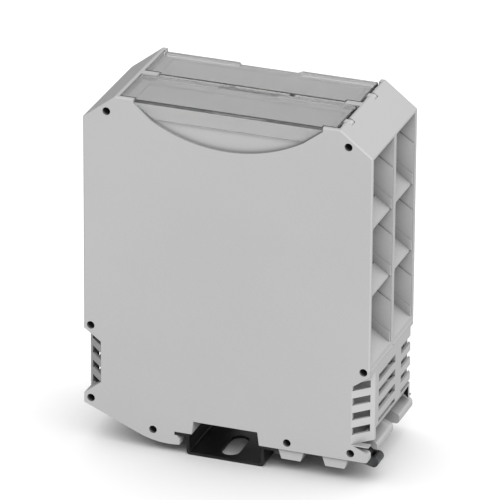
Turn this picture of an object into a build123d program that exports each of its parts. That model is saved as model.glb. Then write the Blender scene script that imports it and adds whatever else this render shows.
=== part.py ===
from build123d import *
import math
import os

# A housing of two modules for small circuit boards, clipped on a short piece of mounting rail.
# X runs across the rail, Y along it and Z up. The origin is the middle of the rail's underside.
# All sizes are in millimetres.

os.makedirs("parts", exist_ok=True)

# The mounting rail, a standard top hat section
rail_width = 35.0
rail_channel = 27.0
rail_height = 7.5
rail_sheet = 1.0
rail_bend = 0.8
rail_slot_length = 15.0
rail_slot_width = 6.2
rail_slot_end = 2.5

# The housing as a whole
body_length = 99.0
body_width = 45.0
body_height = 123.8
module_names = ("near", "middle")
end_plate_thickness = 1.5
top_chamfer_run = 11.0
top_chamfer_drop = 8.5
corner_radius = 0.8
edge_radius = 0.5
far_edge_radius = 0.9
opening_overrun = 1.0

# Walls of a module's shell
panel_wall = 1.2
shell_wall = 1.6
far_rim = 1.2
floor_height = 15.0
floor_slope_run = 8.0
floor_slope_rise = 2.0
column_size = 4.5
column_sides = 8

# Terminal bays in both ends
bay_count = 3
bay_first = 25.8
bay_pitch = 23.7
bay_depth = 9.5
bay_roof_rise = 4.6
ledge_edge = 0.8
ledge_slope = 0.68
ledge_recess = 0.9
guide_thickness = 0.5
guide_inset = 0.2
guide_heights = (14.2, 3.4)
ledge_slot_start = 5.9
ledge_slot_length = 2.6
ledge_slot_width = 1.2
ledge_slot_reach = 3.0

# Vents round the lower corners
vent_top = 38.4
vent_slit = 2.6
vent_pitch = 5.27
vent_count = 4
vent_first = 33.9
vent_left_rise = 1.7
vent_near_chamfer = (6.0, 6.2)
vent_far_chamfer = (3.0, 3.3)
vent_top_slope = 0.72
vent_left_low = (21.2, 15.6)
vent_slit_inset = 0.2
vent_post = 1.2
vent_post_start = 3.9
vent_post_end = 9.8
vent_wall = 0.9
vent_edge_bar = 0.6

# Outline of the foot
foot_corner_height = 13.0
hook_bottom = 3.0
hook_tip_overlap = 1.5
hook_gap = 0.2
hook_chamfer_run = 1.0
hook_chamfer_drop = 1.1
sole_run = 19.0
sole_rise = 1.9
rail_side_gap = 0.3
bus_recess_height = 4.7
bus_recess_width = 22.3
bus_recess_draft = 0.6
notch_depth = 6.0
notch_bottom = 13.4
notch_flank_run = 1.9
notch_flank_low = 14.0
notch_top = 17.5
lobe_top = 10.6
lobe_radius = 1.2

# Press studs and their holes
stud_width = 2.5
stud_sides = 6
stud_length = 1.3
stud_hole = 2.7
stud_bore = 3.2
stud_bore_sides = 8
stud_hole_depth = 12.0
stud_top_inset = (8.2, 5.5)
stud_left_inset = 2.4
stud_right_inset = 2.1
stud_left_height = 41.3
stud_right_height = 39.9
stud_corner_height = 14.9
stud_hook = (-25.3, 7.0)
stud_foot_spacing = (21.4, 43.3)
stud_foot_height = 10.1

# Lid seat in the top of a module
lid_seat_depth = 4.0
shoulder_left = 5.3
shoulder_right = 5.3
shoulder_wall = 1.4
end_rim_left = 1.2
end_rim_right = 0.6
near_wall_drop = 1.5
far_wall_drop = 2.3
far_shoulder = 1.5

# Thumb recess in the side wall, under the lid's apron
thumb_depth = 1.3
thumb_half_width = 26.0
thumb_low = 13.5
thumb_side_low = 6.5
thumb_backing = 1.2

# Clear lids
lid_thickness = 1.2
lid_gap = 0.3
lid_end_slot = 1.1
lid_edge_chamfer = 0.3
lid_notch_width = 21.5
lid_notch_depth = 1.9
lid_notch_flank = 1.2
lid_flange = 1.0
lid_flange_drop = 1.0
apron_thickness = 0.7
apron_height = 5.0
apron_bottom_half = 25.0
hinge_inset = 11.0
hinge_drop = 1.5
hinge_barrel = 2.2
hinge_tab_width = 2.4
hinge_tab_thickness = 0.8
trunnion_diameter = 1.4
trunnion_length = 0.9
trunnion_clearance = 0.15
hinge_offset = 7.8

# Plates under the lids
face_thickness = 1.4
face_gap = 0.3
face_corner = 1.0
label_thickness = 0.4
label_width = 13.0
label_margin = 4.0
label_pocket = 0.5
label_corner = 0.8

# Circuit boards
board_thickness = 1.6
board_length = 68.0
board_gap = 0.3
board_offset = 10.0
slot_gap = 0.2
slot_rib = 1.2
slot_rib_height = 2.5
slot_rib_length = 8.0
slot_rib_spacing = 48.0

# Foot catch, its channel and bridges
channel_start = 2.6
channel_width = 6.4
channel_height = 5.9
channel_left = 14.0
catch_gap = 0.3
catch_bottom = 5.9
catch_bar_height = 3.4
catch_jaw_bottom = 4.0
catch_jaw_reach = 2.2
jaw_chamfer_run = 0.8
jaw_chamfer_rise = 1.0
jaw_gap = 0.5
jaw_slope = 1.0
catch_travel = 3.0
catch_nose_reach = 2.5
catch_nose_top = 8.6
catch_nose_bottom = 5.0
catch_nose_radius = 1.6
catch_nose_flat = 1.2
catch_nose_lip = 0.6
catch_neck = 2.0
catch_neck_step = 1.0
catch_slot_width = 1.2
catch_slot_length = 3.4
catch_lug = 1.5
bridge_top_width = 9.0
bridge_bottom_width = 6.6
bridge_bottom = 3.8
bridge_first = 22.6
bridge_count = 2
bridge_spacing = 15.2
bridge_inset = 0.8

# Catch spring
spring_strip = 0.4
spring_width = 4.0
spring_height = 3.2
spring_bend = 0.45
spring_folds = 7
spring_length = 14.0
spring_stop = 1.5
lug_position = 22.5

# Places that follow from the sizes above
half_length = body_length / 2
half_width = body_width / 2
module_count = len(module_names)
module_pitch = body_width / module_count
module_starts = [-half_width + index * module_pitch for index in range(module_count)]
module_widths = [module_pitch] * (module_count - 1) + [module_pitch - end_plate_thickness]
shoulder_x = half_length - top_chamfer_run
chamfer_corner = body_height - top_chamfer_drop
rail_slot_pitch = body_width - 2 * rail_slot_end - rail_slot_length
foot_seat = rail_height
flange_tip = rail_width / 2
seat_floor = body_height - lid_seat_depth
hollow_top = seat_floor - shell_wall
ledges = [chamfer_corner - bay_first - index * bay_pitch for index in range(bay_count)]
bay_back = half_length - bay_depth
lid_bottom = body_height - lid_thickness
hinge_x = half_length - hinge_inset
hinge_z = body_height - hinge_drop
seat_left = -shoulder_x + end_rim_left
seat_right = shoulder_x - end_rim_right
shoulder_left_x = -shoulder_x + shoulder_left + end_rim_left
shoulder_right_x = shoulder_x - shoulder_right - end_rim_right
channel_top = foot_seat + channel_height
spring_end = lug_position + catch_lug + spring_length
stud_points = [
    (-half_length + stud_top_inset[0], body_height - stud_top_inset[1]),
    (half_length - stud_top_inset[0], body_height - stud_top_inset[1]),
    (-half_length + stud_left_inset, stud_left_height),
    (half_length - stud_right_inset, stud_right_height),
    (-half_length + stud_left_inset, stud_corner_height),
    stud_hook,
    (stud_foot_spacing[0], stud_foot_height),
    (stud_foot_spacing[1], stud_foot_height),
]
column_points = stud_points[:4]


def wall_plane(y):
    """The upright plane across the rail at y, drawn in X and Z."""
    return Plane.XZ.offset(-y)


def box_between(x0, x1, y0, y1, z0, z1, mode=Mode.ADD):
    """A block between two corners, given in any order, in the part that is open."""
    with Locations(((x0 + x1) / 2, (y0 + y1) / 2, (z0 + z1) / 2)):
        Box(abs(x1 - x0), abs(y1 - y0), abs(z1 - z0), mode=mode)


def side_outline():
    """The outline that every side wall shares, with the hook, the foot and the notch."""
    hook_tip = -flange_tip + hook_tip_overlap
    slot_end = -flange_tip - rail_side_gap
    tongue_top = rail_height - rail_sheet - hook_gap
    recess = bus_recess_width / 2
    sole_end = (-half_length + sole_run, hook_bottom + sole_rise)
    with BuildLine() as line:
        Polyline(
            (-half_length, foot_corner_height),
            (-half_length, chamfer_corner),
            (-shoulder_x, body_height),
            (shoulder_x, body_height),
            (half_length, chamfer_corner),
            (half_length, notch_top),
            (half_length - notch_flank_run, notch_flank_low),
            (half_length - notch_depth, notch_bottom),
            (half_length, lobe_top),
            (half_length, foot_seat),
            (recess + bus_recess_draft, foot_seat),
            (recess, foot_seat + bus_recess_height),
            (-recess, foot_seat + bus_recess_height),
            (-recess - bus_recess_draft, foot_seat),
            (slot_end, foot_seat),
            (slot_end, tongue_top),
            (hook_tip - hook_chamfer_run, tongue_top),
            (hook_tip, tongue_top - hook_chamfer_drop),
            (hook_tip, hook_bottom),
        )
        sole = Line((-half_length, foot_corner_height), sole_end)
        TangentArc(sole_end, (hook_tip, hook_bottom), tangent=sole % 1)
    outline = make_face(line.edges())
    tips = outline.vertices().filter_by(lambda v: abs(v.X) > half_length - 0.01)
    fillet(tips.filter_by(lambda v: v.Y < lobe_top + 0.01 and v.X > 0), radius=lobe_radius)
    crests = outline.vertices().filter_by(lambda v: v.Y > chamfer_corner - 0.01)
    fillet(crests, radius=corner_radius)


def bay_outline(ledge, top):
    """One terminal bay at the right hand end, from the ledge's edge up to the edge above."""
    with BuildLine() as line:
        Polyline(
            (half_length + opening_overrun, ledge - ledge_slope * opening_overrun),
            (half_length + opening_overrun, top - ledge_slope * opening_overrun / 2),
            (bay_back, top + bay_roof_rise),
            (bay_back, ledge + ledge_slope * bay_depth),
            close=True,
        )
    make_face(line.edges())


def guide_outline(ledge, height):
    """A raised layer that guides a terminal block, on the side wall of a bay."""
    front = ledge + ledge_slope * guide_inset
    back = ledge + ledge_slope * bay_depth
    with BuildLine() as line:
        Polyline(
            (half_length - guide_inset, front),
            (half_length - guide_inset, front + height),
            (bay_back, back + height),
            (bay_back, back),
            close=True,
        )
    make_face(line.edges())


def ledge_slot_outline(ledge):
    """A short slot down through a ledge, for the latch of a terminal block."""
    x_front = half_length - ledge_slot_start
    x_back = x_front - ledge_slot_length
    front = ledge + ledge_slope * ledge_slot_start
    back = front + ledge_slope * ledge_slot_length
    with BuildLine() as line:
        Polyline(
            (x_front, front - ledge_slot_reach),
            (x_front, front + ledge_edge),
            (x_back, back + ledge_edge),
            (x_back, back - ledge_slot_reach),
            close=True,
        )
    make_face(line.edges())


def hollow_outline():
    """The room for the board, inside the walls and behind the bays."""
    wall_x = half_length - shell_wall
    inner_x = bay_back - shell_wall
    ceiling = ledges[-1] - shell_wall
    with BuildLine() as line:
        Polyline(
            (-inner_x, hollow_top),
            (inner_x, hollow_top),
            (inner_x, ceiling + ledge_slope * bay_depth),
            (wall_x, ceiling + ledge_slope * shell_wall),
            (wall_x, notch_top + shell_wall),
            (half_length - notch_flank_run - shell_wall, floor_height),
            (-wall_x + floor_slope_run, floor_height),
            (-wall_x, floor_height + floor_slope_rise),
            (-wall_x, ceiling + ledge_slope * shell_wall),
            (-inner_x, ceiling + ledge_slope * bay_depth),
            close=True,
        )
    make_face(line.edges())


def thumb_outline():
    """The shallow thumb recess, an arc with straight flanks up to the shoulders."""
    with BuildLine() as line:
        Polyline(
            (-thumb_half_width, body_height - thumb_side_low),
            (shoulder_left_x, body_height - near_wall_drop),
            (shoulder_left_x, body_height + opening_overrun),
            (shoulder_right_x, body_height + opening_overrun),
            (shoulder_right_x, body_height - near_wall_drop),
            (thumb_half_width, body_height - thumb_side_low),
        )
        ThreePointArc(
            (-thumb_half_width, body_height - thumb_side_low),
            (0, body_height - thumb_low),
            (thumb_half_width, body_height - thumb_side_low),
        )
    make_face(line.edges())


def vent_rise(side):
    """The vents at the left hand end, where side is -1, stand a little higher."""
    return vent_left_rise if side < 0 else 0


def vent_outline(side, run):
    """The field of the vents in a corner, seen square on the side wall."""
    x_in = side * (half_length - run)
    x_out = side * (half_length + opening_overrun)
    z_top = vent_top + vent_rise(side)
    z_in, z_out = vent_left_low if side < 0 else (notch_bottom, notch_bottom)
    with BuildLine() as line:
        Polyline(
            (x_in, z_in),
            (x_in, z_top - vent_top_slope * run),
            (x_out, z_top + vent_top_slope * opening_overrun),
            (x_out, z_out),
            close=True,
        )
    return line.edges()


def vent_corner(side, y_corner, inwards, size):
    """The wedge taken off a corner of the vents, where side and inwards are 1 or -1."""
    run, depth = size
    x_in = side * (half_length - run)
    x_out = side * (half_length + opening_overrun)
    y_outside = y_corner - inwards * opening_overrun
    y_inside = y_corner + inwards * depth * (1 + opening_overrun / run)
    with BuildPart(mode=Mode.PRIVATE) as wedge:
        with BuildSketch(Plane.XY):
            with BuildLine():
                Polyline(
                    (x_in, y_corner), (x_in, y_outside), (x_out, y_outside), (x_out, y_inside),
                    close=True,
                )
            make_face()
        extrude(amount=body_height)
        with BuildSketch(wall_plane(min(y_outside, y_inside))):
            make_face(vent_outline(side, run))
        extrude(amount=-abs(y_inside - y_outside), mode=Mode.INTERSECT)
    return wedge.part


def corner_wall(side, y_corner, inwards, size, y_edge):
    """The slanted wall behind that wedge, from y_edge inwards."""
    run, depth = size
    slant = math.hypot(run, depth)
    x_edge = half_length - run - vent_wall * slant / depth + abs(y_edge - y_corner) * run / depth
    y_inside = y_corner + inwards * (depth + vent_wall * slant / run)
    z_low = floor_height - floor_slope_rise
    with BuildPart(mode=Mode.PRIVATE) as wall:
        with BuildSketch(Plane.XY.offset(z_low)):
            with BuildLine():
                Polyline(
                    (side * x_edge, y_edge), (side * half_length, y_edge), (side * half_length, y_inside),
                    close=True,
                )
            make_face()
        extrude(amount=vent_top + vent_rise(side) + shell_wall - z_low)
    return wall.part


def corner_slits(side, y_low, y_high):
    """The level slits through the slanted near corner, kept inside the field of the vents."""
    x_low = half_length - vent_near_chamfer[0] + vent_slit_inset
    x_high = half_length - vent_post
    with BuildPart(mode=Mode.PRIVATE) as slits:
        with BuildSketch(wall_plane(y_low)):
            for index in range(vent_count):
                z_mid = vent_first + vent_rise(side) - index * vent_pitch
                with Locations((side * (x_low + x_high) / 2, z_mid)):
                    Rectangle(x_high - x_low, vent_slit)
            make_face(vent_outline(side, vent_near_chamfer[0]), mode=Mode.INTERSECT)
        extrude(amount=-(y_high - y_low))
    return slits.part


def stud_holes(y):
    """The outlines of the press studs' round holes, on the upright plane at y."""
    with BuildSketch(wall_plane(y), mode=Mode.PRIVATE) as holes:
        with Locations(*stud_points):
            Circle(stud_hole / 2)
    return holes.sketch


def stud_sections(y):
    """The outlines of the press studs, whose corners grip in the round holes."""
    with BuildSketch(wall_plane(y), mode=Mode.PRIVATE) as sections:
        with Locations(*stud_points):
            RegularPolygon(stud_width / 2, stud_sides)
    return sections.sketch


def stud_bores(y):
    """The outlines of the wider bores behind the round holes, on the upright plane at y."""
    with BuildSketch(wall_plane(y), mode=Mode.PRIVATE) as bores:
        with Locations(*stud_points):
            RegularPolygon(stud_bore / 2, stud_bore_sides)
    return bores.sketch


def housing_shell(y_near, width, is_first, is_last):
    """A module's shell: side wall, ends, top and foot in one moulding, open at its far side."""
    y_far = y_near + width
    with BuildPart() as shell:
        with BuildSketch(wall_plane(y_near)):
            side_outline()
        extrude(amount=-width)
        if is_first:
            near_edges = shell.faces().sort_by(Axis.Y)[0].edges()
            fillet(near_edges.filter_by(lambda edge: edge.center().Z > vent_top), radius=edge_radius)

        # The room for the board
        with BuildSketch(wall_plane(y_near + panel_wall)):
            hollow_outline()
        extrude(amount=-width, mode=Mode.SUBTRACT)

        # Terminal bays, each between two slanted ledges whose edges stand back a little
        tops = [chamfer_corner] + ledges[:-1]
        with BuildSketch(wall_plane(y_near + panel_wall)):
            for ledge, top in zip(ledges, tops):
                bay_outline(ledge, top - ledge_edge)
            mirror(about=Plane.YZ)
        extrude(amount=-(width - panel_wall - far_rim), mode=Mode.SUBTRACT)
        for side in (-1, 1):
            box_between(
                side * (half_length - ledge_recess), side * (half_length + opening_overrun),
                y_near + panel_wall, y_far - far_rim,
                ledges[-1] + ledge_slope * ledge_recess, tops[0] - 2 * ledge_edge, mode=Mode.SUBTRACT,
            )

        # Two raised layers on either side wall of a bay, the lower one twice as thick
        for layers, height in enumerate(guide_heights, start=1):
            thickness = layers * guide_thickness
            for y_guide in (y_near + panel_wall, y_far - far_rim - thickness):
                with BuildSketch(wall_plane(y_guide)):
                    for ledge in ledges:
                        guide_outline(ledge, height)
                    mirror(about=Plane.YZ)
                extrude(amount=-thickness)
        with BuildSketch(wall_plane(y_far - far_rim - thickness - ledge_slot_width)):
            for ledge in ledges[:-1]:
                ledge_slot_outline(ledge)
            mirror(about=Plane.YZ)
        extrude(amount=-ledge_slot_width, mode=Mode.SUBTRACT)

        # Columns for the press studs, slots for the board, and backing for the thumb recess
        with BuildSketch(wall_plane(y_near + panel_wall)):
            with Locations(*column_points):
                RegularPolygon(column_size / 2, column_sides)
        extrude(amount=-(width - panel_wall))
        y_board = y_near + board_offset
        for y_rib in (y_board - slot_gap - slot_rib, y_board + board_thickness + slot_gap):
            for z_rib in (floor_height, hollow_top - slot_rib_height):
                for side in (-1, 1):
                    x_rib = side * slot_rib_spacing / 2
                    box_between(
                        x_rib - slot_rib_length / 2, x_rib + slot_rib_length / 2,
                        y_rib, y_rib + slot_rib, z_rib, z_rib + slot_rib_height,
                    )
                    if y_rib < y_board:
                        box_between(
                            x_rib - slot_rib / 2, x_rib + slot_rib / 2,
                            y_near + panel_wall, y_rib, z_rib, z_rib + slot_rib_height,
                        )
        box_between(
            -thumb_half_width - shell_wall, thumb_half_width + shell_wall,
            y_near + panel_wall, y_near + panel_wall + thumb_backing,
            body_height - thumb_low - shell_wall, hollow_top,
        )

        # The seat for the lid, with both long walls lowered between the shoulders
        box_between(
            seat_left, seat_right, y_near + shoulder_wall, y_far - shoulder_wall,
            seat_floor, body_height + opening_overrun, mode=Mode.SUBTRACT,
        )
        box_between(
            shoulder_left_x, shoulder_right_x,
            y_near - opening_overrun, y_near + thumb_depth + thumb_backing,
            body_height - near_wall_drop, body_height + opening_overrun, mode=Mode.SUBTRACT,
        )
        box_between(
            -shoulder_x + far_shoulder if is_last else shoulder_left_x,
            shoulder_x - far_shoulder if is_last else shoulder_right_x,
            y_far - shoulder_wall - opening_overrun, y_far + opening_overrun,
            body_height - far_wall_drop, body_height + opening_overrun, mode=Mode.SUBTRACT,
        )
        with BuildSketch(wall_plane(y_near - opening_overrun)):
            thumb_outline()
        extrude(amount=-(thumb_depth + opening_overrun), mode=Mode.SUBTRACT)

        # The hinge pocket in the end rim, with a socket each side for the lid's trunnions
        y_hinge = y_near + hinge_offset
        box_between(
            seat_right - opening_overrun, hinge_x + hinge_barrel / 2 + lid_gap,
            y_hinge - lid_gap, y_hinge + hinge_tab_width + lid_gap,
            hinge_z - hinge_barrel / 2 - lid_gap, body_height + opening_overrun, mode=Mode.SUBTRACT,
        )
        with BuildSketch(wall_plane(y_hinge - trunnion_length - lid_gap)):
            with Locations((hinge_x, hinge_z)):
                Circle(trunnion_diameter / 2 + trunnion_clearance)
        extrude(amount=-(hinge_tab_width + 2 * trunnion_length + 2 * lid_gap), mode=Mode.SUBTRACT)

        # Vents: a slanted corner at either end of the housing, level slits and a thinner end wall
        for side in (-1, 1):
            z_high = vent_top + vent_rise(side)
            z_end = vent_left_low[1] if side < 0 else notch_top
            spans = [(y_near + vent_post_end, y_far + opening_overrun)]
            if is_first:
                add(corner_wall(side, y_near, 1, vent_near_chamfer, y_near))
                add(vent_corner(side, y_near, 1, vent_near_chamfer), mode=Mode.SUBTRACT)
                y_deep = y_near + vent_near_chamfer[1] + 2 * shell_wall
                add(corner_slits(side, y_near - opening_overrun, y_deep), mode=Mode.SUBTRACT)
            else:
                spans.append((y_near - opening_overrun, y_near + vent_post_start))
            if is_last:
                y_end = y_far + end_plate_thickness
                add(corner_wall(side, y_end, -1, vent_far_chamfer, y_far))
                add(vent_corner(side, y_end, -1, vent_far_chamfer), mode=Mode.SUBTRACT)
            for y_low, y_high in spans:
                box_between(
                    side * (half_length - shell_wall - opening_overrun), side * (half_length - vent_wall),
                    max(y_low, y_near + panel_wall), min(y_high, y_far),
                    z_end + shell_wall, z_high, mode=Mode.SUBTRACT,
                )
                for index in range(vent_count):
                    z_mid = vent_first + vent_rise(side) - index * vent_pitch
                    box_between(
                        side * (half_length - shell_wall - opening_overrun),
                        side * (half_length + opening_overrun), y_low, y_high,
                        max(z_mid - vent_slit / 2, z_end + vent_edge_bar), z_mid + vent_slit / 2,
                        mode=Mode.SUBTRACT,
                    )

        # The foot catch's channel, and the two bridges that carry the catch
        y_channel = y_near + channel_start
        box_between(
            channel_left, half_length + opening_overrun, y_channel, y_channel + channel_width,
            foot_seat - opening_overrun, channel_top, mode=Mode.SUBTRACT,
        )
        for index in range(bridge_count):
            x_bridge = bridge_first + index * bridge_spacing
            with BuildSketch(wall_plane(y_near + bridge_inset)):
                with BuildLine():
                    Polyline(
                        (x_bridge - bridge_top_width / 2, foot_seat),
                        (x_bridge + bridge_top_width / 2, foot_seat),
                        (x_bridge + bridge_bottom_width / 2, bridge_bottom),
                        (x_bridge - bridge_bottom_width / 2, bridge_bottom),
                        close=True,
                    )
                make_face()
            extrude(amount=-(channel_start + channel_width + shell_wall - bridge_inset))
        box_between(
            channel_left, half_length + opening_overrun, y_channel, y_channel + channel_width,
            catch_bottom - catch_gap, foot_seat + opening_overrun, mode=Mode.SUBTRACT,
        )
        box_between(
            channel_left, flange_tip + jaw_gap + jaw_slope + catch_travel + catch_gap,
            y_channel, y_channel + channel_width,
            0, foot_seat + opening_overrun, mode=Mode.SUBTRACT,
        )
        box_between(
            spring_end, spring_end + spring_stop, y_channel, y_channel + channel_width,
            catch_bottom + catch_bar_height + catch_gap, channel_top,
        )

        # Holes for the last wall's press studs, and studs for the next wall
        extrude(stud_holes(y_near), amount=-panel_wall, mode=Mode.SUBTRACT)
        extrude(
            stud_bores(y_near + panel_wall), amount=panel_wall - stud_hole_depth, mode=Mode.SUBTRACT,
        )
        extrude(stud_sections(y_far), amount=-stud_length)
    return shell.part


def face_plate(y_near, width):
    """The plate that closes the top of a module under its lid, with a pocket for the label."""
    y_low = y_near + shoulder_wall + face_gap
    y_high = y_near + width - shoulder_wall - face_gap
    y_mid = (y_low + y_high) / 2
    z_top = seat_floor + face_thickness
    with BuildPart() as plate:
        box_between(seat_left + face_gap, seat_right - face_gap, y_low, y_high, seat_floor, z_top)
        fillet(plate.edges().filter_by(Axis.Z), radius=face_corner)
        box_between(
            seat_left + label_margin, seat_right - label_margin,
            y_mid - label_width / 2 - face_gap, y_mid + label_width / 2 + face_gap,
            z_top - label_pocket, z_top + opening_overrun, mode=Mode.SUBTRACT,
        )
    return plate.part


def label_strip(y_near, width):
    """The blank strip that lies in the face plate's pocket."""
    y_mid = y_near + width / 2
    z_low = seat_floor + face_thickness - label_pocket
    with BuildPart() as strip:
        box_between(
            seat_left + label_margin + face_gap, seat_right - label_margin - face_gap,
            y_mid - label_width / 2, y_mid + label_width / 2, z_low, z_low + label_thickness,
        )
        fillet(strip.edges().filter_by(Axis.Z), radius=label_corner)
    return strip.part


def clear_lid(y_near, width):
    """A clear lid with an apron down the side wall, a turned down rim and a hinge barrel."""
    y_back = y_near + width - shoulder_wall - lid_gap
    y_front = y_near + shoulder_wall + lid_gap
    y_apron = y_near + lid_gap
    x_left = seat_left + lid_gap
    x_right = seat_right - lid_end_slot
    x_front_left = shoulder_left_x + lid_gap
    x_front_right = shoulder_right_x - lid_gap
    x_mid = (shoulder_left_x + shoulder_right_x) / 2
    rim_bottom = lid_bottom - lid_flange_drop
    y_hinge = y_near + hinge_offset
    with BuildPart() as lid:
        with BuildSketch(Plane.XY.offset(lid_bottom)):
            with BuildLine():
                Polyline(
                    (x_left, y_front),
                    (x_front_left, y_front),
                    (x_front_left, y_apron),
                    (x_front_right, y_apron),
                    (x_front_right, y_front),
                    (x_right, y_front),
                    (x_right, y_back),
                    (x_mid + lid_notch_width / 2, y_back),
                    (x_mid + lid_notch_width / 2 - lid_notch_flank, y_back - lid_notch_depth),
                    (x_mid - lid_notch_width / 2 + lid_notch_flank, y_back - lid_notch_depth),
                    (x_mid - lid_notch_width / 2, y_back),
                    (x_left, y_back),
                    close=True,
                )
            make_face()
        extrude(amount=lid_thickness)
        chamfer(lid.faces().sort_by(Axis.Z)[-1].edges(), length=lid_edge_chamfer)

        # The rim under the far edge and the left end
        for x_low, x_high, y_low in (
            (x_left, x_mid - lid_notch_width / 2, y_back - lid_flange),
            (x_mid + lid_notch_width / 2, x_right, y_back - lid_flange),
            (x_left, x_left + lid_flange, y_front),
        ):
            box_between(x_low, x_high, y_low, y_back, rim_bottom, lid_bottom)

        # The apron that hangs in the thumb recess
        with BuildSketch(wall_plane(y_apron)):
            with BuildLine():
                Polyline(
                    (x_front_left, lid_bottom),
                    (x_front_right, lid_bottom),
                    (x_mid + apron_bottom_half, lid_bottom - apron_height),
                    (x_mid - apron_bottom_half, lid_bottom - apron_height),
                    close=True,
                )
            make_face()
        extrude(amount=-apron_thickness)

        # The hinge tab, its barrel and a trunnion at each end of the barrel
        box_between(
            x_right - lid_flange, hinge_x, y_hinge, y_hinge + hinge_tab_width,
            hinge_z - hinge_tab_thickness / 2, lid_bottom + hinge_tab_thickness,
        )
        for y_low, length, diameter in (
            (y_hinge, hinge_tab_width, hinge_barrel),
            (y_hinge - trunnion_length, hinge_tab_width + 2 * trunnion_length, trunnion_diameter),
        ):
            with BuildSketch(wall_plane(y_low)):
                with Locations((hinge_x, hinge_z)):
                    Circle(diameter / 2)
            extrude(amount=-length)
    return lid.part


def circuit_board(y_near):
    """A bare board that stands in the slots of its shell."""
    y_board = y_near + board_offset
    with BuildPart() as board:
        box_between(
            -board_length / 2, board_length / 2, y_board, y_board + board_thickness,
            floor_height + board_gap, hollow_top - board_gap,
        )
    return board.part


for index, place in enumerate(module_names):
    y_start = module_starts[index]
    width = module_widths[index]
    pieces = {
        "shell": housing_shell(y_start, width, index == 0, index == module_count - 1),
        "face_plate": face_plate(y_start, width),
        "label_strip": label_strip(y_start, width),
        "lid": clear_lid(y_start, width),
        "board": circuit_board(y_start),
    }
    for name, piece in pieces.items():
        piece.label = f"{place}_{name}"
        export_step(piece, f"parts/{place}_{name}.step")

# The end plate closes the last shell and takes its press studs
with BuildPart() as end_plate:
    y_plate = half_width - end_plate_thickness
    with BuildSketch(wall_plane(y_plate)):
        side_outline()
    extrude(amount=-end_plate_thickness)
    far_edges = end_plate.faces().sort_by(Axis.Y)[-1].edges()
    fillet(far_edges.filter_by(lambda edge: edge.center().Z > vent_top), radius=far_edge_radius)
    box_between(
        -shoulder_x + far_shoulder, shoulder_x - far_shoulder, y_plate, half_width,
        body_height - far_wall_drop, body_height + opening_overrun, mode=Mode.SUBTRACT,
    )
    for side in (-1, 1):
        add(vent_corner(side, half_width, -1, vent_far_chamfer), mode=Mode.SUBTRACT)
    extrude(stud_holes(y_plate), amount=-end_plate_thickness, mode=Mode.SUBTRACT)
end_plate.part.label = "end_plate"
export_step(end_plate.part, "parts/end_plate.step")

# The foot catch: a steel bar with a jaw under the rail's flange and a nose for a screwdriver
with BuildPart() as foot_catch:
    y_catch = module_starts[0] + channel_start + catch_gap
    catch_width = channel_width - 2 * catch_gap
    catch_top = catch_bottom + catch_bar_height
    jaw_right = flange_tip + jaw_gap
    jaw_top = rail_height - rail_sheet - hook_gap
    jaw_left = jaw_right - catch_jaw_reach
    nose_x = half_length + catch_nose_reach
    neck_x = half_length - catch_neck
    with BuildSketch(wall_plane(y_catch)):
        with BuildLine():
            Polyline(
                (nose_x - catch_nose_radius, catch_nose_bottom),
                (neck_x, catch_nose_bottom + catch_nose_lip),
                (neck_x - catch_neck_step, catch_bottom),
                (jaw_right + jaw_slope, catch_bottom),
                (jaw_right, catch_jaw_bottom),
                (jaw_left + jaw_chamfer_run, catch_jaw_bottom),
                (jaw_left, catch_jaw_bottom + jaw_chamfer_rise),
                (jaw_left, jaw_top),
                (jaw_right, jaw_top),
                (jaw_right, catch_top),
                (neck_x, catch_top),
                (neck_x + catch_neck_step, catch_nose_top),
                (nose_x - catch_nose_flat, catch_nose_top),
            )
            ThreePointArc(
                (nose_x - catch_nose_flat, catch_nose_top),
                (nose_x, (catch_nose_top + catch_nose_bottom) / 2),
                (nose_x - catch_nose_radius, catch_nose_bottom),
            )
        make_face()
    extrude(amount=-catch_width)
    y_mid = y_catch + catch_width / 2
    box_between(
        half_length - catch_slot_width / 2, half_length + catch_slot_width / 2,
        y_mid - catch_slot_length / 2, y_mid + catch_slot_length / 2,
        0, body_height, mode=Mode.SUBTRACT,
    )
    box_between(
        lug_position, lug_position + catch_lug, y_catch, y_catch + catch_width,
        catch_bottom, channel_top - catch_gap,
    )
foot_catch.part.label = "foot_catch"
export_step(foot_catch.part, "parts/foot_catch.step")

# The catch spring: a strip folded to and fro, between the catch's lug and the shell's stop
with BuildPart() as catch_spring:
    spring_low = channel_top - catch_gap - spring_height
    spring_start = lug_position + catch_lug
    fold_run = (spring_length - spring_strip) / (spring_folds - 1)
    fold_points = [(spring_start + spring_strip / 2, spring_low + spring_strip / 2)]
    for index in range(spring_folds):
        x_fold = spring_start + spring_strip / 2 + index * fold_run
        z_fold = spring_low + (spring_strip / 2 if index % 2 else spring_height - spring_strip / 2)
        fold_points.append((x_fold, z_fold))
    fold_points.append((spring_end - spring_strip / 2, spring_low + spring_strip / 2))
    with BuildSketch(wall_plane(y_mid - spring_width / 2)):
        with BuildLine():
            FilletPolyline(*fold_points, radius=spring_bend)
            offset(amount=spring_strip / 2, side=Side.BOTH, kind=Kind.INTERSECTION)
        make_face()
    extrude(amount=-spring_width)
catch_spring.part.label = "catch_spring"
export_step(catch_spring.part, "parts/catch_spring.step")

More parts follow.
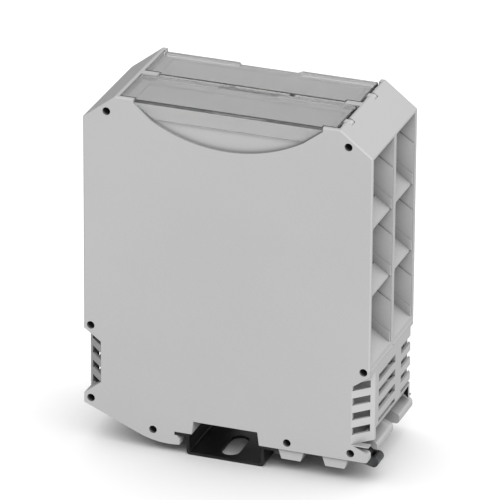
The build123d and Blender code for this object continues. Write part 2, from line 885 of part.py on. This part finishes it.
# The piece of rail, folded from sheet steel, with two long holes
with BuildPart() as rail_piece:
    with BuildSketch(wall_plane(-half_width)):
        with BuildLine():
            FilletPolyline(
                (-flange_tip + rail_sheet / 2, rail_height - rail_sheet / 2),
                (-rail_channel / 2 + rail_sheet / 2, rail_height - rail_sheet / 2),
                (-rail_channel / 2 + rail_sheet / 2, rail_sheet / 2),
                (rail_channel / 2 - rail_sheet / 2, rail_sheet / 2),
                (rail_channel / 2 - rail_sheet / 2, rail_height - rail_sheet / 2),
                (flange_tip - rail_sheet / 2, rail_height - rail_sheet / 2),
                radius=rail_bend,
            )
            offset(amount=rail_sheet / 2, side=Side.BOTH, kind=Kind.INTERSECTION)
        make_face()
    extrude(amount=-body_width)
    with BuildSketch(Plane.XY):
        with GridLocations(0, rail_slot_pitch, 1, 2):
            SlotOverall(rail_slot_length, rail_slot_width, rotation=90)
    extrude(amount=rail_sheet, mode=Mode.SUBTRACT)
rail_piece.part.label = "rail_piece"
export_step(rail_piece.part, "parts/rail_piece.step")
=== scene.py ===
import math
import bmesh
import bpy
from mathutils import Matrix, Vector

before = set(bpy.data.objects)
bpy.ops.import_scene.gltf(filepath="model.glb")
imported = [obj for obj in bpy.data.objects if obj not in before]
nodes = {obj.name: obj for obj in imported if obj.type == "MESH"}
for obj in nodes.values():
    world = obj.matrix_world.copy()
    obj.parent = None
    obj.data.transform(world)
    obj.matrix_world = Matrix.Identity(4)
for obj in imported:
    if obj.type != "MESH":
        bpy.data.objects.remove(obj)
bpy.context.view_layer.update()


# Camera
# A long lens looks down on the near side wall and the right-hand end, as in the photograph.
# Its angles, distance and lens are fitted to the edges that show there.
view_azimuth = math.radians(19.86)
view_elevation = math.radians(24.46)
view_roll = math.radians(0.37)
view_distance = 2.0
view_reach = 20.0
view_target = Vector((0.0001, 0.0, 0.0663))
view_lens = 440.9
view_film = 36.0

towards_camera = Vector((
    math.sin(view_azimuth) * math.cos(view_elevation),
    -math.cos(view_azimuth) * math.cos(view_elevation),
    math.sin(view_elevation),
))


def add_object(title, data):
    """Puts a new object that holds this data into the scene."""
    added = bpy.data.objects.new(title, data)
    bpy.context.scene.collection.objects.link(added)
    return added


camera = add_object("camera", bpy.data.cameras.new("camera"))
camera.data.sensor_width = view_film
camera.data.lens = view_lens
camera.data.clip_end = view_reach
camera.location = view_target + view_distance * towards_camera
camera.rotation_euler = towards_camera.to_track_quat("Z", "Y").to_euler()
camera.rotation_euler.rotate_axis("Z", view_roll)
bpy.context.scene.camera = camera


# Floor and light
# A plain white sweep under a soft light from the near right, with an even light all round.
# A wide soft light overhead falls on the floor alone, so the shadow stays close under the foot.
white = (1.0, 1.0, 1.0, 1.0)
floor_size = 6.0
floor_white = 0.92
floor_grey = 0.32
floor_roughness = 0.9
backdrop_strength = 1.0
dome_strength = 0.37
key_strength = 2.6
key_softness = math.radians(50)
key_direction = Vector((0.46, -0.58, 0.54))
overhead_strength = 3.2
overhead_softness = math.radians(130)
overhead_direction = Vector((0.03, 0.28, 0.95))

bpy.context.scene.view_settings.view_transform = "Standard"


def seen_directly(tree):
    """A value of 1 where the ray comes from the camera, a mirror or clear plastic."""
    path = tree.nodes.new("ShaderNodeLightPath")
    seen = path.outputs["Is Camera Ray"]
    for ray in ("Is Glossy Ray", "Is Transmission Ray"):
        either = tree.nodes.new("ShaderNodeMath")
        either.operation = "MAXIMUM"
        tree.links.new(seen, either.inputs[0])
        tree.links.new(path.outputs[ray], either.inputs[1])
        seen = either.outputs[0]
    return seen


def add_sun(title, strength, softness, direction):
    """A far lamp that shines from this direction, with a shadow as soft as its width."""
    sun = add_object(title, bpy.data.lights.new(title, "SUN"))
    sun.data.energy = strength
    sun.data.angle = softness
    sun.rotation_euler = direction.to_track_quat("Z", "Y").to_euler()
    return sun


def new_material(title):
    """A new material, with its node tree and its shader."""
    material = bpy.data.materials.new(title)
    material.use_nodes = True
    return material, material.node_tree, material.node_tree.nodes["Principled BSDF"]


world = bpy.data.worlds.new("studio")
bpy.context.scene.world = world
world.use_nodes = True
sky = world.node_tree
dome = sky.nodes["Background"]
dome.inputs["Color"].default_value = white
dome.inputs["Strength"].default_value = dome_strength
backdrop = sky.nodes.new("ShaderNodeBackground")
backdrop.inputs["Color"].default_value = white
backdrop.inputs["Strength"].default_value = backdrop_strength
sky_mix = sky.nodes.new("ShaderNodeMixShader")
sky.links.new(seen_directly(sky), sky_mix.inputs[0])
sky.links.new(dome.outputs[0], sky_mix.inputs[1])
sky.links.new(backdrop.outputs[0], sky_mix.inputs[2])
sky.links.new(sky_mix.outputs[0], sky.nodes["World Output"].inputs["Surface"])

key = add_sun("key_light", key_strength, key_softness, key_direction)

floor_mesh = bpy.data.meshes.new("floor")
floor_bm = bmesh.new()
bmesh.ops.create_grid(floor_bm, x_segments=1, y_segments=1, size=floor_size / 2)
floor_bm.to_mesh(floor_mesh)
floor_bm.free()
floor = add_object("floor", floor_mesh)
floor_paint, tree, shader = new_material("floor_paint")
shader.inputs["Roughness"].default_value = floor_roughness
shader.inputs["Specular IOR Level"].default_value = 0.0
floor_tone = tree.nodes.new("ShaderNodeMix")
floor_tone.data_type = "RGBA"
floor_tone.inputs["A"].default_value = (floor_grey, floor_grey, floor_grey, 1.0)
floor_tone.inputs["B"].default_value = (floor_white, floor_white, floor_white, 1.0)
tree.links.new(seen_directly(tree), floor_tone.inputs["Factor"])
tree.links.new(floor_tone.outputs["Result"], shader.inputs["Base Color"])
floor_mesh.materials.append(floor_paint)

overhead = add_sun("overhead_light", overhead_strength, overhead_softness, overhead_direction)
for lamp, state in ((key, "EXCLUDE"), (overhead, "INCLUDE")):
    lit = bpy.data.collections.new(lamp.name + "_on_floor")
    lit.objects.link(floor)
    lamp.light_linking.receiver_collection = lit
    lit.collection_objects[0].light_linking.link_state = state


# Housing shells and end plate
# Two injection moulded modules and a cover in light grey glass filled polyamide.
# They snap together on press studs. The mould's spark eroded face leaves a fine even grain.
housing_grey = (0.585, 0.585, 0.583)
housing_dark = (0.565, 0.566, 0.566)
housing_roughness = 0.78
housing_ior = 1.5
housing_gloss = 0.12
grain_detail = 3.0
# How far the painted shade in holes, slits and bays reaches, and how dark it gets.
recess_reach = 0.014
painted_shade_share = 0.05
closed_sky_share = 0.15
open_sky_share = 0.95


def paint_node(name, material):
    """Gives a CAD node one material all over."""
    mesh = nodes[name].data
    mesh.materials.clear()
    mesh.materials.append(material)


def mottle(tree, scale, detail, low, high, dark, light):
    """A soft blend of two close colours over the piece, read from Object coordinates."""
    place = tree.nodes.new("ShaderNodeTexCoord")
    noise = tree.nodes.new("ShaderNodeTexNoise")
    noise.inputs["Scale"].default_value = scale
    noise.inputs["Detail"].default_value = detail
    tree.links.new(place.outputs["Object"], noise.inputs["Vector"])
    ramp = tree.nodes.new("ShaderNodeValToRGB")
    ramp.color_ramp.elements[0].position = low
    ramp.color_ramp.elements[0].color = (*dark, 1.0)
    ramp.color_ramp.elements[1].position = high
    ramp.color_ramp.elements[1].color = (*light, 1.0)
    tree.links.new(noise.outputs["Fac"], ramp.inputs["Fac"])
    return ramp.outputs["Color"]


def grain(tree, scale, height):
    """A fine bump of this height in metres, read from Object coordinates."""
    place = tree.nodes.new("ShaderNodeTexCoord")
    noise = tree.nodes.new("ShaderNodeTexNoise")
    noise.inputs["Scale"].default_value = scale
    noise.inputs["Detail"].default_value = grain_detail
    tree.links.new(place.outputs["Object"], noise.inputs["Vector"])
    bump = tree.nodes.new("ShaderNodeBump")
    bump.inputs["Strength"].default_value = 1.0
    bump.inputs["Distance"].default_value = height
    tree.links.new(noise.outputs["Fac"], bump.inputs["Height"])
    return bump.outputs["Normal"]


def painted_recess_shade(tree, color):
    """Paints shade into a colour in holes, slits and bays, darker where less open sky is near
    each point.
    """
    near = tree.nodes.new("ShaderNodeAmbientOcclusion")
    near.samples = 8
    near.only_local = True
    near.inputs["Distance"].default_value = recess_reach
    share = tree.nodes.new("ShaderNodeMapRange")
    share.inputs["From Min"].default_value = closed_sky_share
    share.inputs["From Max"].default_value = open_sky_share
    share.inputs["To Min"].default_value = painted_shade_share
    share.inputs["To Max"].default_value = 1.0
    tree.links.new(near.outputs["AO"], share.inputs["Value"])
    mixed = tree.nodes.new("ShaderNodeMix")
    mixed.data_type = "RGBA"
    mixed.blend_type = "MULTIPLY"
    mixed.inputs["Factor"].default_value = 1.0
    tree.links.new(color, mixed.inputs["A"])
    tree.links.new(share.outputs["Result"], mixed.inputs["B"])
    return mixed.outputs["Result"]


housing_plastic, tree, shader = new_material("housing_plastic")
shader.inputs["Roughness"].default_value = housing_roughness
shader.inputs["IOR"].default_value = housing_ior
shader.inputs["Specular IOR Level"].default_value = housing_gloss
housing_color = mottle(
    tree, scale=18.0, detail=4.0, low=0.35, high=0.65, dark=housing_dark, light=housing_grey
)
# The base colour carries painted shade, darker in holes, slits and bays.
tree.links.new(painted_recess_shade(tree, housing_color), shader.inputs["Base Color"])
tree.links.new(grain(tree, scale=2200.0, height=0.00004), shader.inputs["Normal"])
for name in ("near_shell", "middle_shell", "end_plate"):
    paint_node(name, housing_plastic)


# Face plates and label strips
# A plate moulded in mid grey plastic closes the top of each module under its lid.
# A blank strip of grey card lies in the plate's pocket.
plate_grey = (0.36, 0.36, 0.36)
plate_dark = (0.33, 0.33, 0.33)
strip_light = (0.37, 0.37, 0.37)
strip_dark = (0.35, 0.35, 0.35)
matt_roughness = 0.6

for title, dark, light, users in (
    ("face_plate_plastic", plate_dark, plate_grey, ("near_face_plate", "middle_face_plate")),
    ("label_card", strip_dark, strip_light, ("near_label_strip", "middle_label_strip")),
):
    material, tree, shader = new_material(title)
    shader.inputs["Roughness"].default_value = matt_roughness
    matt_color = mottle(tree, scale=40.0, detail=3.0, low=0.3, high=0.7, dark=dark, light=light)
    tree.links.new(matt_color, shader.inputs["Base Color"])
    tree.links.new(grain(tree, scale=1800.0, height=0.00003), shader.inputs["Normal"])
    for name in users:
        paint_node(name, material)


# Clear lids
# Each lid is moulded in clear polycarbonate, with an apron in the thumb recess.
# A barrel with two trunnions snaps into the end rim, and the lid turns up on it.
# The frosted finish of the barrel, from barrel_start on, is a guess.
lid_clear = (0.93, 0.93, 0.93, 1.0)
lid_roughness = 0.16
lid_ior = 1.585
barrel_start = 0.0369
barrel_dark = (0.60, 0.60, 0.60)
barrel_light = (0.66, 0.66, 0.66)
barrel_roughness = 0.6

clear_plastic, tree, shader = new_material("clear_plastic")
shader.inputs["Base Color"].default_value = lid_clear
shader.inputs["Roughness"].default_value = lid_roughness
shader.inputs["IOR"].default_value = lid_ior
shader.inputs["Transmission Weight"].default_value = 1.0
frosted = tree.nodes.new("ShaderNodeBsdfPrincipled")
frosted.inputs["Roughness"].default_value = barrel_roughness
barrel_color = mottle(
    tree, scale=400.0, detail=3.0, low=0.3, high=0.7, dark=barrel_dark, light=barrel_light
)
tree.links.new(barrel_color, frosted.inputs["Base Color"])
place = tree.nodes.new("ShaderNodeTexCoord")
across = tree.nodes.new("ShaderNodeSeparateXYZ")
tree.links.new(place.outputs["Object"], across.inputs["Vector"])
on_barrel = tree.nodes.new("ShaderNodeMath")
on_barrel.operation = "GREATER_THAN"
on_barrel.inputs[1].default_value = barrel_start
tree.links.new(across.outputs["X"], on_barrel.inputs[0])
lid_mix = tree.nodes.new("ShaderNodeMixShader")
tree.links.new(on_barrel.outputs[0], lid_mix.inputs[0])
tree.links.new(shader.outputs[0], lid_mix.inputs[1])
tree.links.new(frosted.outputs[0], lid_mix.inputs[2])
tree.links.new(lid_mix.outputs[0], tree.nodes["Material Output"].inputs["Surface"])
for name in ("near_lid", "middle_lid"):
    paint_node(name, clear_plastic)


# Circuit boards
# Bare boards of glass cloth laminate, coated with green solder mask on both faces.
# Each stands upright in slots that are moulded into its shell.
mask_dark = (0.010, 0.060, 0.030)
mask_green = (0.016, 0.095, 0.045)
mask_roughness = 0.35

board_mask, tree, shader = new_material("board_mask")
shader.inputs["Roughness"].default_value = mask_roughness
mask_color = mottle(
    tree, scale=300.0, detail=5.0, low=0.4, high=0.6, dark=mask_dark, light=mask_green
)
tree.links.new(mask_color, shader.inputs["Base Color"])
tree.links.new(grain(tree, scale=1500.0, height=0.00002), shader.inputs["Normal"])
for name in ("near_board", "middle_board"):
    paint_node(name, board_mask)


# Foot catch and its spring
# The catch is a bar of black passivated steel that slides under the rail's flange.
# The spring is a bright steel strip folded to and fro, which pushes it back.
catch_black = (0.035, 0.036, 0.038)
catch_worn = (0.075, 0.077, 0.080)
catch_roughness = 0.42
strip_steel = (0.50, 0.50, 0.49)
strip_shade = (0.40, 0.40, 0.40)
strip_roughness = 0.30

for title, dark, light, roughness, user in (
    ("catch_steel", catch_black, catch_worn, catch_roughness, "foot_catch"),
    ("spring_steel", strip_shade, strip_steel, strip_roughness, "catch_spring"),
):
    material, tree, shader = new_material(title)
    shader.inputs["Metallic"].default_value = 1.0
    shader.inputs["Roughness"].default_value = roughness
    steel_color = mottle(
        tree, scale=250.0, detail=4.0, low=0.35, high=0.65, dark=dark, light=light
    )
    tree.links.new(steel_color, shader.inputs["Base Color"])
    tree.links.new(grain(tree, scale=900.0, height=0.00003), shader.inputs["Normal"])
    paint_node(user, material)


# Mounting rail
# A short length of 35 mm top hat rail, which the housing is clipped on.
# It is folded from sheet steel with long holes in its floor, and passivated black.
rail_black = (0.010, 0.010, 0.010)
rail_sheen = (0.030, 0.031, 0.030)
rail_metal = 0.6
rail_roughness = 0.38

rail_steel, tree, shader = new_material("rail_steel")
shader.inputs["Metallic"].default_value = rail_metal
shader.inputs["Roughness"].default_value = rail_roughness
rail_color = mottle(
    tree, scale=120.0, detail=5.0, low=0.35, high=0.7, dark=rail_black, light=rail_sheen
)
tree.links.new(rail_color, shader.inputs["Base Color"])
tree.links.new(grain(tree, scale=700.0, height=0.00004), shader.inputs["Normal"])
paint_node("rail_piece", rail_steel)
